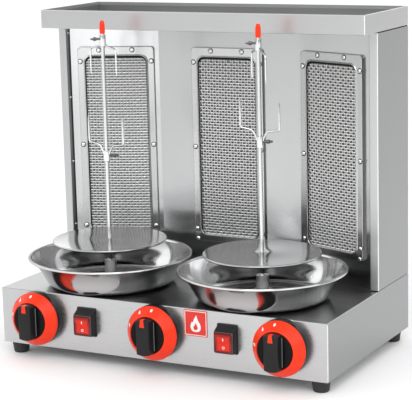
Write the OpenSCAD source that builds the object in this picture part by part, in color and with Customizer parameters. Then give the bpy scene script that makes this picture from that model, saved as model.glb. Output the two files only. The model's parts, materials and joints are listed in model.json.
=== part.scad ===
// Vertical rotisserie broiler: two spits, three gas burners, table top.
// Millimetres. +X right, +Y to the back, +Z up. The origin is on the table,
// under the middle of the outer box. Inside the modules, y is counted from
// the control panel and z from the underside of the base.

/* [Casing] */
// Width of base, cabinet and tray
width = 630; // [625:1:660]
// Depth of the base, panel to back
base_depth = 363; // [360:1:380]
// Height of the base box
base_height = 99; // [98:1:104]
// Depth of the upper cabinet
cabinet_depth = 143; // [141:1:146]
// Height of the upper cabinet
cabinet_height = 445; // [440:1:470]
// Depth of the warming tray
tray_depth = 199; // [180:1:215]
// Height of the tray's walls
tray_height = 33; // [25:1:45]
// Thickness of the sheet metal
sheet = 1.2; // [1:0.1:1.5]
// Height of the rubber feet
foot_height = 22; // [18:1:30]

/* [Reflector wall] */
// Half the width of the middle facet
fold_x = 141; // [138:1:144]
// Distance of the middle facet from the panel
fold_y = 286; // [284:1:288]
// Outer end of each side facet, from the middle
wing_x = 297; // [296:0.5:298]
// Outer end of each side facet, from the panel
wing_y = 231; // [229:1:233]

/* [Burners] */
// Width of a burner frame
frame_w = 143; // [141:1:145]
// Height of a burner frame
frame_h = 358; // [354:1:362]
// Width of the burner's open window
window_w = 115; // [112:1:116]
// Height of the burner's open window
window_h = 327; // [320:1:328]
// Height of the window's middle
window_z = 323; // [320:1:326]
// How far the pressed frame stands out of the wall
frame_rise = 8; // [7:0.5:10]
// Distance of a side burner's middle from the fold
wing_burner = 80; // [79:1:82]

/* [Spits] */
// Distance of each spit from the middle
spit_x = 150; // [149:1:154]
// Distance of the spits from the panel
spit_y = 105; // [102:1:108]
// Diameter of the spit rod
rod_d = 6.5; // [6:0.1:7]
// Height of the rod cap's tip
spit_top = 566; // [560:1:575]
// Radius of the meat plate
plate_r = 101.5; // [95:0.5:105]
// Height of the meat plate's upper face
plate_z = 180; // [176:1:190]
// Distance of a fork's prongs from the rod
prong_r = 33; // [30:0.5:34]

/* [Drip pans] */
// Radius of the pan's rolled rim
pan_r = 143.5; // [138:0.5:146]
// Height of the pan
pan_h = 53.6; // [50:0.1:58]

/* [Controls] */
// Distance between neighbouring knobs
knob_pitch = 236; // [230:1:240]
// Height of the knobs' middle
knob_z = 53; // [51:1:55]
// Outer radius of the dial
dial_r = 47.3; // [45:0.1:48]
// How far the knob's grip stands out of the panel
knob_proud = 50; // [46:1:56]
// Radius of the knob
knob_r = 31.5; // [30:0.5:31.5]

/* [Hidden] */
$fn = 64;
gas_inlet_end = base_depth + 35;
mid_y = (gas_inlet_end - knob_proud) / 2;
cabinet_front = base_depth - cabinet_depth;
cabinet_top = base_height + cabinet_height;
tray_front = base_depth - tray_depth;
inner_x = width / 2 - sheet;
inner_back = base_depth - sheet;
flange_w = 16;
lip_depth = 17;
wing_angle = atan2(fold_y - wing_y, wing_x - fold_x);
wall_line = [[-wing_x, wing_y], [-fold_x, fold_y], [fold_x, fold_y], [wing_x, wing_y]];
wall_t = 1.25;
seam_flange = 12;
foot_inset = 22;
foot_stud_r = 3;
vent_x = [-200, -120, -40, 40, 120, 200];
vent_w = 50;

// burners, seen along the facet: ring outside, screen, box and tiles
ring_w = window_w + 7;
ring_h = window_h + 7;
box_w = ring_w + 2.4;
box_h = ring_h + 2.4;
box_depth = 45;
box_wall = 1;
tile_gap = 0.2;
frame_lift = 2;
tube_back = 28;
tube_r = 12;
tube_low = 62;
injector_r = 8;
screw_hole_r = 2.1;
screw_r = 2;
screw_head_r = 4;
screw_head_h = 2.4;
// screws of one burner frame, [across, up] from the window's middle
frame_screws = concat(
    [for (s = [-1, 1]) [s * 31, 175]],
    [for (s = [-1, 1], z = [154, -1, -154]) [s * 66.5, z]],
    [for (s = [-1, 1]) [s * 65, -172.5]]);
rear_screws = [for (s = [-1, 1], z = [20, 180, 340, 500]) [s * 307, z]];

// drive: hub, bush, gears and motor
hub_r = 11;
hub_low = base_height - 0.8;
hub_top = 141;
socket_low = 120;
running = 0.05;
bend_swell = 0.3;
slide_fit = 0.07;
bush_r = 14;
bush_flange_r = 18;
gear_module = 0.75;
gear_teeth = 42;
pinion_teeth = 18;
gear_centres = gear_module * (gear_teeth + pinion_teeth) / 2;
gearbox_r = 30;
gearbox_h = 20;
gearbox_top = base_height - sheet;
gearbox_low = gearbox_top - gearbox_h;
case_wall = 2;
motor_low = 32;
post_at = 25 / sqrt(2);
shaft_r = 4;
rotor_shaft_r = 2.5;

// spits and forks
rod_r = rod_d / 2;
rod_low = socket_low + 0.3;
cap_h = 23;
cap_r = 4.7;
plate_t = 4;
pin_z = 137;
pin_r = 1.7;
pin_len = 20;
slot_w = 4.2;
slot_low = 133;
collar_r = 5.75;
collar_h = 20;
wire_r = 1.7;
thumb_r = 2;
// forks: [side, foot of the collar, prong direction, screw direction, height of the screw,
// how far the first prong sits below the level one]
upper_left = [-1, 521, -17, 211, 534, 0];
upper_right = [1, 521, -44, 206, 534, 0];
lower_left = [-1, 319, 5, 31, 329, 2.2];
lower_right = [1, 359, 15, 26, 369, 3];
// the wire's route from the collar, [from the rod, above the collar's foot]
upper_wire = [[5, 6], [10, 0], [28, -2], [prong_r, -8], [prong_r, -48], [prong_r, -51]];
lower_wire = [[5, 13], [11, 27], [prong_r, 32], [prong_r, 78], [prong_r, 81]];

// pan: flat floor, then one curve up to the rim
pan_t = 1;
pan_gap = 0.3;
pan_collar_r = 19.5;
pan_collar_h = 15;
pan_floor_r = 94;
bead_r = 2.6;
pan_curve_steps = 14;

// controls
dial_base_h = 15;
dial_ring_h = 18;
dial_bore = 32.2;
dial_floor = 3;
knob_back = 12;
knob_front = dial_base_h + dial_ring_h;
bar_w = 22;
spindle_r = 4;
spindle_front = knob_proud - 12;
spindle_back = 24;
plug_r = 8;
tap_r = 14;
manifold_y = 36;
manifold_z = 24;
manifold_r = 8;
inlet_x = 285;
outlet_y = 66;
switch_x = [-138, 135];
switch_z = 54.5;
switch_base = [38, 51];
switch_front = [35, 35];
switch_drop = 3.2;
switch_proud = 17;
switch_body = [32.6, 45.6, 30];
rocker_w = 29;
rocker_r = 17.5;
rocker_gap = 0.4;
trunnion_r = 2;
trunnion = 1.2;
rocker_pivot = 8;
rocker_tilt = 7;
badge_at = [75.5, 74.5];
badge_size = [44, 45];
gland_at = [-250, 50];

// ---------- helpers ----------

module place() {
    translate([0, -mid_y, foot_height]) children();
}

// box from its lowest corner to its highest
module block(low, high) {
    translate(low) cube(high - low);
}

// rectangle with round corners, about its middle
module rounded(w, h, r) {
    square([w - 2 * r, h], center = true);
    square([w, h - 2 * r], center = true);
    for (x = [-1, 1], y = [-1, 1])
        translate([x * (w / 2 - r), y * (h / 2 - r)]) circle(r);
}

// drawing in the X-Z plane, made solid from y = back towards the front
module upright(back, depth) {
    translate([0, back, 0]) rotate([90, 0, 0]) linear_extrude(depth) children();
}

// round bar along Y
module bar_y(x, z, r, from, to) {
    translate([x, from, z]) rotate([-90, 0, 0]) cylinder(h = to - from, r = r);
}

// round bar between two points
module bar(a, b, r) {
    d = b - a;
    translate(a)
        rotate([0, acos(d[2] / norm(d)), atan2(d[1], d[0])])
            cylinder(h = norm(d), r = r);
}

// bent round bar through a list of points, with a slightly thicker ball at each bend
module bent_bar(points, r) {
    for (i = [0 : len(points) - 2]) bar(points[i], points[i + 1], r);
    for (i = [1 : len(points) - 2]) translate(points[i]) sphere(r + bend_swell);
}

// children at each burner: -1 left, 0 middle, 1 right
module at_burner(i) {
    x = fold_x + wing_burner * cos(wing_angle);
    y = fold_y - wing_burner * sin(wing_angle);
    if (i == 0) translate([0, fold_y, window_z]) children();
    else translate([i * x, y, window_z]) rotate([0, 0, -i * wing_angle]) children();
}

function tube_foot(i) = i == 0 ? [0, fold_y + tube_back] :
    [i * (fold_x + wing_burner * cos(wing_angle) + tube_back * sin(wing_angle)),
     fold_y - wing_burner * sin(wing_angle) + tube_back * cos(wing_angle)];

module at_spit(side) {
    translate([side * spit_x, spit_y, 0]) children();
}

module at_dial(i) {
    translate([i * knob_pitch, 0, knob_z]) children();
}

function polar(r, a) = [r * cos(a), r * sin(a)];

function inv(a) = tan(a) * 180 / PI - a;

// involute spur gear, tooth 0 on the +X side, thinned for backlash
module spur(teeth) {
    pressure = 20;
    thin = 0.07;
    rp = gear_module * teeth / 2;
    rb = rp * cos(pressure);
    ro = rp + 0.85 * gear_module;
    rr = rp - 1.2 * gear_module;
    half = 90 / teeth - thin / rp * 180 / PI + inv(pressure);
    low = max(rb, rr);
    flank = [for (i = [0 : 4]) low + (ro - low) * i / 4];
    function at(r) = half - inv(acos(min(1, rb / r)));
    polygon([for (t = [0 : teeth - 1]) let (a = 360 / teeth * t) each concat(
        [polar(rr, a - at(low))],
        [for (r = flank) polar(r, a - at(r))],
        [for (i = [4 : -1 : 0]) polar(flank[i], a + at(flank[i]))],
        [polar(rr, a + at(low))])]);
}

// ---------- casing ----------

module base_shell() color([0.74, 0.75, 0.76]) place() difference() {
    union() {
        difference() {
            block([-width / 2, 0, 0], [width / 2, base_depth, base_height]);
            block([-inner_x, sheet, -1], [inner_x, base_depth + 1, base_height - sheet]);
            block([-inner_x, inner_back, -1], [inner_x, base_depth + 1, base_height + 1]);
        }
        for (s = [-1, 1])
            block([s < 0 ? -inner_x : inner_x - seam_flange, inner_back - sheet, sheet],
                [s < 0 ? -inner_x + seam_flange : inner_x, inner_back, base_height - sheet]);
    }
    for (i = [-1 : 1]) bar_y(i * knob_pitch, knob_z, 10, -1, sheet + 1);
    for (x = switch_x)
        translate([x, 0, switch_z])
            cube([switch_body[0] + 0.4, 5, switch_body[1] + 0.4], center = true);
    for (s = [-1, 1]) at_spit(s) {
        translate([0, 0, base_height - 5]) cylinder(h = 10, r = bush_r + running);
        motor_screw_places() translate([0, 0, base_height - 5]) cylinder(h = 10, r = screw_head_r);
    }
    for (i = [-1 : 1])
        translate([tube_foot(i)[0], tube_foot(i)[1], base_height - 5])
            cylinder(h = 10, r = tube_r + 1);
    for (p = rear_screws) bar_y(p[0], p[1], screw_hole_r, inner_back - 5, base_depth);
}

module base_bottom() color([0.62, 0.63, 0.64]) place() difference() {
    block([-inner_x, sheet, 0], [inner_x, inner_back, sheet]);
    foot_places() translate([0, 0, -1]) cylinder(h = 5, r = foot_stud_r + 0.1);
    for (x = vent_x, y = [90, 180, 270])
        block([x - vent_w / 2, y, -1], [x + vent_w / 2, y + 6, sheet + 1]);
}

module foot_places() {
    for (x = [-1, 1], y = [foot_inset, base_depth - foot_inset])
        translate([x * (width / 2 - foot_inset), y, 0]) children();
}

module rubber_feet() color([0.07, 0.07, 0.07]) place() foot_places() {
    translate([0, 0, -foot_height]) cylinder(h = foot_height, r1 = 13.5, r2 = 16.5);
    cylinder(h = 9, r = foot_stud_r);
}

module rear_panel() color([0.68, 0.69, 0.7]) place() difference() {
    block([-inner_x, inner_back, sheet], [inner_x, base_depth, cabinet_top]);
    for (p = rear_screws) bar_y(p[0], p[1], screw_hole_r, inner_back - 1, base_depth + 1);
    bar_y(inlet_x, manifold_z, manifold_r + 0.1, inner_back - 1, base_depth + 1);
    bar_y(gland_at[0], gland_at[1], 8.1, inner_back - 1, base_depth + 1);
    for (x = vent_x, z = [170 : 25 : 495])
        block([x - vent_w / 2, inner_back - 1, z], [x + vent_w / 2, base_depth + 1, z + 5]);
}

module cabinet_side(side) color([0.66, 0.67, 0.68]) place() mirror([side < 0 ? 1 : 0, 0, 0])
    difference() {
        union() {
            block([inner_x, cabinet_front, base_height], [width / 2, base_depth, cabinet_top]);
            block([width / 2 - flange_w, cabinet_front, base_height],
                [inner_x, cabinet_front + sheet, cabinet_top]);
            block([width / 2 - flange_w, cabinet_front + sheet, base_height],
                [width / 2 - flange_w + sheet, cabinet_front + lip_depth, cabinet_top]);
            block([inner_x - seam_flange, inner_back - sheet, base_height],
                [inner_x, inner_back, cabinet_top]);
        }
        for (p = rear_screws) bar_y(abs(p[0]), p[1], screw_hole_r, inner_back - 5, base_depth);
    }

// strip along the wall's line, from its face to a given depth behind it
module wall_strip(depth) {
    back = [for (i = [3 : -1 : 0]) wall_line[i] + [0, depth]];
    polygon(concat(wall_line, back));
}

module reflector_wall() color([0.8, 0.81, 0.82]) place() difference() {
    union() {
        translate([0, 0, base_height]) linear_extrude(cabinet_height) wall_strip(wall_t);
        for (z = [base_height, cabinet_top - sheet])
            translate([0, 0, z]) linear_extrude(sheet) wall_strip(seam_flange);
    }
    for (i = [-1 : 1]) at_burner(i) {
        upright(5, 10) square([box_w + 0.6, box_h + 0.6], center = true);
        for (p = frame_screws) bar_y(p[0], p[1], screw_hole_r, -3, 5);
    }
}

module warming_tray() color([0.72, 0.73, 0.74]) place() {
    hem = 2.4;
    hem_h = 6;
    top = cabinet_top + tray_height;
    difference() {
        block([-width / 2, tray_front, cabinet_top], [width / 2, base_depth, top]);
        block([-inner_x, tray_front + sheet, cabinet_top + sheet],
            [inner_x, inner_back, top - hem_h]);
        block([-width / 2 + hem, tray_front + hem, top - hem_h - 1],
            [width / 2 - hem, base_depth - hem, top + 1]);
    }
}

// ---------- burners ----------

module burner_frames() color([0.82, 0.83, 0.84]) place() for (i = [-1 : 1]) at_burner(i)
    difference() {
        union() {
            translate([0, 0, frame_lift]) upright(0, sheet) rounded(frame_w, frame_h, 6);
            upright(-sheet, frame_rise - sheet) rounded(ring_w, ring_h, 15);
        }
        upright(1, frame_rise - sheet + 1) rounded(ring_w - 2.4, ring_h - 2.4, 14);
        upright(1, frame_rise + 2) rounded(window_w, window_h, 12);
        for (p = frame_screws) bar_y(p[0], p[1], screw_hole_r, -3, 1);
    }

module burner_meshes() color([0.6, 0.6, 0.58]) place() for (i = [-1 : 1]) at_burner(i)
    upright(-5, 1.6) rounded(window_w + 4, window_h + 4, 13);

module ceramic_tiles() color([0.85, 0.78, 0.66]) place() for (i = [-1 : 1], s = [-1, 1])
    at_burner(i) {
        tile_h = (box_h - 2 * box_wall - 3 * tile_gap) / 2;
        translate([0, 0, s * (tile_h + tile_gap) / 2])
            upright(12.6, 12) square([box_w - 2 * box_wall - 2 * tile_gap, tile_h], center = true);
    }

module burner_boxes() color([0.55, 0.56, 0.57]) place() for (i = [-1 : 1]) at_burner(i)
    difference() {
        union() {
            upright(box_depth, box_depth) square([box_w, box_h], center = true);
            upright(2.3, 1) square([frame_w, frame_h - 6], center = true);
        }
        upright(box_depth - box_wall, box_depth)
            square([box_w - 2 * box_wall, box_h - 2 * box_wall], center = true);
        translate([0, tube_back, -box_h / 2 - 1]) cylinder(h = 5, r = tube_r + 0.1);
        for (p = frame_screws) bar_y(p[0], p[1], screw_hole_r, 1, 5);
    }

module mixing_tubes() color([0.5, 0.5, 0.51]) place() for (i = [-1 : 1])
    translate([tube_foot(i)[0], tube_foot(i)[1], tube_low]) {
        top = window_z - box_h / 2 - tube_low + 25;
        wall = 1.5;
        rotate_extrude() polygon([[tube_r + 6, -6], [tube_r, 4], [tube_r, top],
            [tube_r - wall, top], [tube_r - wall, 4], [tube_r + 6 - wall, -6]]);
    }

module gas_injectors() color([0.75, 0.6, 0.3]) place() for (i = [-1 : 1])
    translate([tube_foot(i)[0], tube_foot(i)[1], knob_z]) difference() {
        union() {
            translate([0, 0, -7]) cylinder(h = 14, r = injector_r, $fn = 6);
            cylinder(h = 17, r = 5);
        }
        translate([0, 0, 1]) cylinder(h = 20, r = 0.8);
    }

module round_screw(shank) {
    rotate([90, 0, 0]) cylinder(h = screw_head_h, r1 = screw_head_r, r2 = screw_head_r - 1.2);
    rotate([-90, 0, 0]) cylinder(h = shank, r = screw_r);
}

module motor_screw_places() {
    for (x = [-1, 1], back = [0, 1])
        translate([x * post_at, back * gear_centres + (2 * back - 1) * post_at, 0]) children();
}

module panel_screws() color([0.85, 0.85, 0.86]) place() {
    for (i = [-1 : 1]) at_burner(i)
        for (p = frame_screws) translate([p[0], -sheet, p[1]]) round_screw(8);
    for (p = rear_screws) translate([p[0], base_depth, p[1]]) rotate([0, 0, 180]) round_screw(7);
    for (s = [-1, 1]) at_spit(s) motor_screw_places() {
        translate([0, 0, gearbox_top]) cylinder(h = sheet, r = screw_head_r - 0.1);
        translate([0, 0, gearbox_top - 8]) cylinder(h = 8, r = screw_r);
    }
}

// ---------- gas train ----------

module manifold_run(r) {
    far = knob_pitch + 26;
    translate([-far - (r - manifold_r), manifold_y, manifold_z])
        rotate([0, 90, 0]) cylinder(h = far + inlet_x + r - manifold_r, r = r);
    translate([inlet_x, manifold_y, manifold_z]) sphere(r + bend_swell);
    bar_y(inlet_x, manifold_z, r, manifold_y, base_depth - 15);
}

module gas_manifold() color([0.7, 0.66, 0.55]) place() difference() {
    manifold_run(manifold_r);
    manifold_run(manifold_r - 2);
    bar_y(inlet_x, manifold_z, manifold_r - 2, base_depth - 30, base_depth);
    for (i = [-1 : 1])
        translate([i * knob_pitch, manifold_y, manifold_z]) cylinder(h = manifold_r + 5, r = 3);
}

module gas_inlet() color([0.78, 0.63, 0.32]) place() difference() {
    union() {
        bar_y(inlet_x, manifold_z, manifold_r, base_depth - 15, base_depth);
        translate([inlet_x, base_depth, manifold_z])
            rotate([-90, 0, 0]) cylinder(h = 9, r = 12, $fn = 6);
        bar_y(inlet_x, manifold_z, 5, base_depth + 9, gas_inlet_end);
    }
    bar_y(inlet_x, manifold_z, 3, base_depth - 16, gas_inlet_end + 1);
}

module gas_taps() color([0.72, 0.6, 0.35]) place() for (i = [-1 : 1]) difference() {
    at_dial(i) {
        bar_y(0, 0, 9, sheet, 7);
        bar_y(0, 0, tap_r, 6, 48);
        bar_y(0, 0, 6, 47, outlet_y);
        translate([0, manifold_y, manifold_z - knob_z])
            cylinder(h = knob_z - manifold_z, r = 7);
    }
    manifold_run(manifold_r);
    at_dial(i) {
        bar_y(0, 0, spindle_r + running, 0, 16);
        bar_y(0, 0, plug_r + running, 14, 40);
        bar_y(0, 0, 3, 39, outlet_y + 1);
        translate([0, manifold_y, manifold_z - knob_z]) cylinder(h = 22, r = 3);
    }
}

module gas_pipes() color([0.72, 0.5, 0.35]) place() for (i = [-1 : 1]) {
    foot = tube_foot(i);
    pipe_end = foot[1] - injector_r * cos(30);
    difference() {
        bar([i * knob_pitch, outlet_y - 3, knob_z], [foot[0], foot[1], knob_z], 4);
        block([i * knob_pitch - 20, outlet_y - 20, 0], [i * knob_pitch + 20, outlet_y, base_height]);
        block([foot[0] - 20, pipe_end, 0], [foot[0] + 20, pipe_end + 20, base_height]);
    }
}

module tap_plug(i) color([0.8, 0.66, 0.36]) place() at_dial(i) difference() {
    bar_y(0, 0, plug_r, 15, 39);
    bar_y(0, 0, spindle_r + running, 14, 32);
    translate([0, manifold_y - 1, -plug_r - 1]) cylinder(h = plug_r + 1, r = 2);
}

module tap_spindle(i) color([0.78, 0.78, 0.79]) place() at_dial(i)
    bar_y(0, 0, spindle_r, -spindle_front, spindle_back);

// ---------- controls ----------

module dial_bases() color([0.06, 0.06, 0.06]) place() for (i = [-1 : 1]) at_dial(i)
    rotate([90, 0, 0]) difference() {
        cylinder(h = dial_base_h, r = dial_r);
        translate([0, 0, dial_floor]) cylinder(h = dial_base_h, r = dial_bore + 1);
        translate([0, 0, -1]) cylinder(h = dial_floor + 2, r = 9);
    }

module dial_rings() color([0.95, 0.25, 0.13]) place() for (i = [-1 : 1]) at_dial(i)
    rotate([90, 0, 0]) rotate_extrude()
        polygon([[dial_bore, dial_base_h], [dial_r, dial_base_h], [dial_r, dial_base_h + 2],
            [dial_bore + 1.5, knob_front], [dial_bore, knob_front]]);

module knob(i) color([0.05, 0.05, 0.05]) place() at_dial(i) difference() {
    union() {
        bar_y(0, 0, knob_r, -knob_front, -knob_back);
        intersection() {
            bar_y(0, 0, knob_r, -knob_proud, -knob_front + 1);
            block([-bar_w / 2, -knob_proud, -knob_r], [bar_w / 2, 0, knob_r]);
        }
    }
    bar_y(0, 0, spindle_r + running, -spindle_front - 0.5, 0);
}

// block that narrows towards a front face set lower by drop
module frustum(back, front, proud, drop) {
    intersection() {
        translate([0, 0, -back[1] / 2]) linear_extrude(back[1])
            polygon([[-back[0] / 2, 0], [back[0] / 2, 0], [front[0] / 2, -proud],
                [-front[0] / 2, -proud]]);
        translate([-back[0] / 2, 0, 0]) rotate([90, 0, 90]) linear_extrude(back[0])
            polygon([[0, -back[1] / 2], [0, back[1] / 2], [-proud, front[1] / 2 - drop],
                [-proud, -front[1] / 2 - drop]]);
    }
}

module switch_housings() color([0.06, 0.06, 0.07]) place() for (x = switch_x)
    translate([x, 0, switch_z]) difference() {
        union() {
            frustum(switch_base, switch_front, switch_proud, switch_drop);
            block([-switch_body[0] / 2, -1, -switch_body[1] / 2],
                [switch_body[0] / 2, switch_body[2], switch_body[1] / 2]);
        }
        across(rocker_w / 2 + rocker_gap) circle(rocker_r + rocker_gap);
        across(rocker_w / 2 + trunnion + rocker_gap) circle(trunnion_r + running);
    }

// drawing in the Y-Z plane about the rocker's pivot, made solid to both sides of the middle
module across(half) {
    translate([-half, -rocker_pivot, -switch_drop])
        rotate([90, 0, 90]) linear_extrude(2 * half) children();
}

// round-ended key with two faces that meet in a shallow valley, tipped to off
module rocker(x) color([0.85, 0.08, 0.06]) place()
    translate([x, -rocker_pivot, switch_z - switch_drop]) rotate([rocker_tilt, 0, 0])
        translate([0, rocker_pivot, switch_drop]) {
            intersection() {
                across(rocker_w / 2) circle(rocker_r);
                across(rocker_w / 2)
                    polygon([[-11, -20], [-9, 0], [-11, 20], [4, 20], [4, -20]]);
            }
            across(rocker_w / 2 + trunnion) circle(trunnion_r);
        }

module badge_plate() color([0.85, 0.1, 0.1]) place()
    translate([badge_at[0], 0, badge_at[1]]) upright(0, 0.8) rounded(badge_size[0], badge_size[1], 2);

// ---------- drive ----------

// outline of the gearbox: two circles, over the output shaft and the motor
module gearbox_outline(r) {
    circle(r);
    translate([0, gear_centres]) circle(r);
    translate([-r, 0]) square([2 * r, gear_centres]);
}

module gearmotor_cases() color([0.45, 0.46, 0.48]) place() for (s = [-1, 1]) at_spit(s)
    difference() {
        union() {
            difference() {
                translate([0, 0, gearbox_low]) linear_extrude(gearbox_h) gearbox_outline(gearbox_r);
                translate([0, 0, gearbox_low + case_wall])
                    linear_extrude(gearbox_h - 2 * case_wall)
                        gearbox_outline(gearbox_r - case_wall);
            }
            intersection() {
                motor_screw_places() translate([0, 0, gearbox_low]) cylinder(h = gearbox_h, r = 4);
                translate([0, 0, gearbox_low]) linear_extrude(gearbox_h) gearbox_outline(gearbox_r);
            }
            translate([0, gear_centres, motor_low]) difference() {
                cylinder(h = gearbox_low - motor_low + 1, r = gearbox_r);
                translate([0, 0, case_wall])
                    cylinder(h = gearbox_low - motor_low - case_wall, r = gearbox_r - case_wall);
            }
            translate([0, gear_centres, motor_low]) cylinder(h = 6, r = 6);
            translate([0, 0, gearbox_low]) cylinder(h = 4, r = 8);
        }
        motor_screw_places() translate([0, 0, gearbox_top - 9]) cylinder(h = 10, r = screw_r);
        translate([0, gear_centres, motor_low + 2])
            cylinder(h = gearbox_low - motor_low + 1, r = rotor_shaft_r + running);
        translate([0, 0, gearbox_low + 2]) cylinder(h = gearbox_h, r = shaft_r + running);
    }

module motor_rotor(side) color([0.35, 0.36, 0.4]) place() at_spit(side)
    translate([0, gear_centres, 0]) {
        translate([0, 0, motor_low + 2.3]) cylinder(h = gearbox_low - motor_low + 2, r = rotor_shaft_r);
        translate([0, 0, motor_low + 10]) cylinder(h = 30, r = 20);
        translate([0, 0, gearbox_low + 4]) linear_extrude(9) spur(pinion_teeth);
    }

module output_gear(side) color([0.7, 0.7, 0.72]) place() at_spit(side) {
    translate([0, 0, gearbox_low + 2.3]) cylinder(h = socket_low - 2 - gearbox_low - 2.3, r = shaft_r);
    translate([0, 0, gearbox_low + 5])
        rotate([0, 0, 180 / gear_teeth]) linear_extrude(7) spur(gear_teeth);
}

module hub_bushes() color([0.75, 0.62, 0.34]) place() for (s = [-1, 1]) at_spit(s)
    difference() {
        union() {
            translate([0, 0, gearbox_top]) cylinder(h = sheet + 1, r = bush_r);
            translate([0, 0, base_height]) cylinder(h = 4, r = bush_flange_r);
        }
        translate([0, 0, gearbox_top - 1]) cylinder(h = 10, r = hub_r + running);
    }

module drive_hub(side) color([0.86, 0.87, 0.88]) place() at_spit(side) difference() {
    translate([0, 0, hub_low]) cylinder(h = hub_top - hub_low, r = hub_r);
    translate([0, 0, hub_low - 1]) cylinder(h = socket_low - 2 - hub_low + 1, r = shaft_r);
    translate([0, 0, socket_low]) cylinder(h = hub_top, r = rod_r + slide_fit);
    translate([-hub_r - 1, -slot_w / 2, slot_low]) cube([2 * hub_r + 2, slot_w, hub_top]);
}

// ---------- spits ----------

module spit_rod(side) color([0.84, 0.84, 0.85]) place() at_spit(side) {
    translate([0, 0, rod_low]) cylinder(h = spit_top - 6 - rod_low, r = rod_r);
    translate([-pin_len / 2, 0, pin_z]) rotate([0, 90, 0]) cylinder(h = pin_len, r = pin_r);
}

module meat_plate(side) color([0.88, 0.89, 0.9]) place() at_spit(side)
    translate([0, 0, plate_z - plate_t]) rotate_extrude()
        polygon([[rod_r, 0], [plate_r - 1, 0], [plate_r, 1], [plate_r, plate_t - 1],
            [plate_r - 1, plate_t], [rod_r, plate_t]]);

module spit_cap(side) color([0.95, 0.3, 0.12]) place() at_spit(side)
    translate([0, 0, spit_top - cap_h]) rotate_extrude()
        polygon([[rod_r, 0], [cap_r - 1, 0], [cap_r, 4], [cap_r, cap_h - 5], [cap_r - 2, cap_h],
            [0, cap_h], [0, cap_h - 6], [rod_r, cap_h - 6]]);

// point of a prong wire, turned to its side of the rod
function wire_point(p, foot, turn, lean) =
    [p[0] * cos(turn), p[0] * sin(turn), foot + p[1] - lean * p[0] / prong_r];

module fork(f, wire) color([0.8, 0.81, 0.82]) place() at_spit(f[0]) difference() {
    union() {
        translate([0, 0, f[1]]) cylinder(h = collar_h, r = collar_r);
        for (s = [1, -1]) {
            turn = f[2] + (s > 0 ? 0 : 180);
            points = [for (p = wire) wire_point(p, f[1], turn, s * f[5])];
            last = len(points) - 1;
            bent_bar([for (i = [0 : last - 1]) points[i]], wire_r);
            up = points[last][2] > points[last - 1][2];
            translate(points[last - 1]) mirror([0, 0, up ? 0 : 1])
                cylinder(h = norm(points[last] - points[last - 1]), r1 = wire_r, r2 = 0.4);
        }
    }
    translate([0, 0, f[1] - 10]) cylinder(h = collar_h + 20, r = rod_r + slide_fit);
    translate([0, 0, f[4]]) rotate([0, 90, f[3]]) cylinder(h = 20, r = thumb_r + running);
}

module thumbscrew(f) color([0.78, 0.78, 0.79]) place() at_spit(f[0])
    translate([0, 0, f[4]]) rotate([0, 90, f[3]]) {
        translate([0, 0, rod_r + 0.4]) cylinder(h = 10, r = thumb_r);
        translate([0, 0, rod_r + 8]) cylinder(h = 5, r = 3.2);
        for (s = [-1, 1])
            translate([s * 4.4, 0.9, rod_r + 14]) rotate([90, 0, 0]) cylinder(h = 1.8, r = 4.2);
    }

// ---------- drip pans ----------

function bezier(a, b, c, d, t) =
    pow(1 - t, 3) * a + 3 * t * pow(1 - t, 2) * b + 3 * t * t * (1 - t) * c + pow(t, 3) * d;

// outer wall of the bowl: radius and height at t from 0 (floor) to 1 (rim)
function bowl(t) = bezier([pan_floor_r, 0], [pan_floor_r + 28, 0], [pan_r - 31.5, 22],
    [pan_r - 1, pan_h - bead_r], t);

// same point moved inwards by the thickness of the sheet
function bowl_inner(t) =
    let (d = bowl(min(1, t + 0.01)) - bowl(max(0, t - 0.01)))
    bowl(t) + pan_t / norm(d) * [-d[1], d[0]];

module drip_pan(side) color([0.85, 0.86, 0.87]) place() at_spit(side)
    translate([0, 0, base_height + pan_gap]) rotate_extrude() {
        steps = pan_curve_steps;
        polygon(concat(
            [[pan_collar_r, 0]],
            [for (i = [0 : steps]) bowl(i / steps)],
            [for (i = [steps : -1 : 0]) bowl_inner(i / steps)],
            [[pan_collar_r + pan_t, pan_t], [pan_collar_r + pan_t, pan_collar_h],
             [pan_collar_r, pan_collar_h]]));
        translate([pan_r, pan_h - bead_r]) circle(bead_r, $fn = 24);
    }

// ---------- electrics ----------

module cable_gland() color([0.08, 0.08, 0.08]) place() difference() {
    union() {
        bar_y(gland_at[0], gland_at[1], 8, base_depth - 13, base_depth + 1);
        translate([gland_at[0], base_depth - sheet - 6, gland_at[1]])
            rotate([-90, 0, 0]) cylinder(h = 6, r = 12, $fn = 6);
        translate([gland_at[0], base_depth, gland_at[1]])
            rotate([-90, 0, 0]) cylinder(h = 7, r = 12, $fn = 6);
        bar_y(gland_at[0], gland_at[1], 9.5, base_depth + 7, base_depth + 18);
    }
    bar_y(gland_at[0], gland_at[1], 4, base_depth - 14, base_depth + 19);
}

// four cables, each on its own level over the floor, to the switches and the motors
module wiring_loom() color([0.3, 0.3, 0.32]) place() {
    ends = [
        [[switch_x[0], 60], [switch_x[0], switch_body[2]], switch_z],
        [[switch_x[1], 60], [switch_x[1], switch_body[2]], switch_z],
        [[-spit_x, spit_y + gear_centres], [-spit_x, spit_y + gear_centres], motor_low],
        [[spit_x, spit_y + gear_centres], [spit_x, spit_y + gear_centres], motor_low]];
    for (k = [0 : 3]) {
        x = gland_at[0] + 7 * k - 10;
        low = 6 + 6 * k;
        e = ends[k];
        to_motor = e[0] == e[1];
        route = concat(
            [[x, base_depth - 20, gland_at[1]], [x, base_depth - 35, gland_at[1]],
             [x, base_depth - 35, low], [e[0][0], e[0][1], low]],
            to_motor ? [[e[1][0], e[1][1], e[2]]]
                : [[e[0][0], e[0][1], e[2]], [e[1][0], e[1][1], e[2]]]);
        bent_bar(route, 2.5);
    }
}

// ---------- the whole machine ----------

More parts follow.
